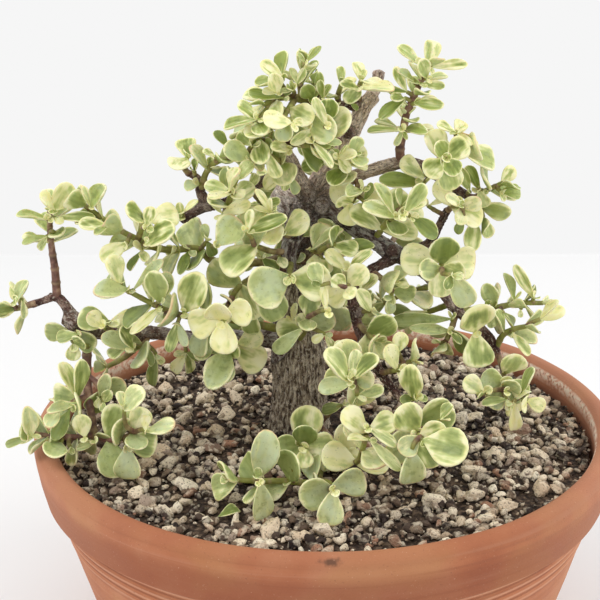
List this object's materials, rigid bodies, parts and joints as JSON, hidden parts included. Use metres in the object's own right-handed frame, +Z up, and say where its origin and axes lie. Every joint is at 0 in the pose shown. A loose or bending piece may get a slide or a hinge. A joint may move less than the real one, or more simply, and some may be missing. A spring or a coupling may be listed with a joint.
{
  "type": "potted elephant bush",
  "caption": "Small variegated succulent bush with a gnarled trunk, dark twisting limbs and paired round leaves, planted in a wide terracotta bowl with grit over its soil.",
  "frame": {"origin": "centre of the bowl's underside, on the surface it stands on", "axes": "+Z up through the bowl's axis, -Y towards the front, where the low rosettes hang over the soil"},
  "size_m": [0.2866, 0.27, 0.2943],
  "materials": {
    "terracotta": "unglazed, matt",
    "soil": "loose grit and bark",
    "bark": "rough, fissured",
    "leaf": "smooth, soft sheen, pale margins"
  },
  "bodies": {
    "root": {"bowl": "terracotta", "trunk": "bark", "soil": "soil", "crown_left": "leaf", "crown_mid": "leaf", "comb_right": "leaf", "young_top": "leaf", "vee": "leaf", "knuckle": "leaf", "inner_top": "leaf", "shelf": "leaf", "mast": "leaf", "right_cluster": "leaf", "right_twig": "leaf", "pale_right": "leaf", "mid_fan": "leaf", "pale_hang": "leaf", "curled": "leaf", "big_round": "leaf", "right_end": "leaf", "right_end_low": "leaf", "right_rosette": "leaf", "mid_hang": "leaf", "long_leaves": "leaf", "back_green": "leaf", "under_limb": "leaf", "centre_pale": "leaf", "centre_pair": "leaf", "cream_front": "leaf", "star": "leaf", "trefoil": "leaf", "trunk_front": "leaf", "big_centre": "leaf", "left_big": "leaf", "cream_leaf": "leaf", "left_group": "leaf", "left_low": "leaf", "left_fan": "leaf", "upper_left": "leaf", "stub_leaves": "leaf", "long_arm": "leaf", "green_twig": "leaf", "far_up": "leaf", "far_end": "leaf", "knob_leaves": "leaf", "arm_top": "leaf", "arm_green": "leaf", "back_drop": "leaf", "drop": "leaf", "front_rosette": "leaf", "low_runner": "leaf", "cream_upright": "leaf", "right_low_rosette": "leaf", "back_high": "leaf", "back_right": "leaf", "back_centre": "leaf", "back_left": "leaf", "back_low_left": "leaf", "back_low_right": "leaf", "fallen_leaf": "leaf"}
  },
  "joints": []
}
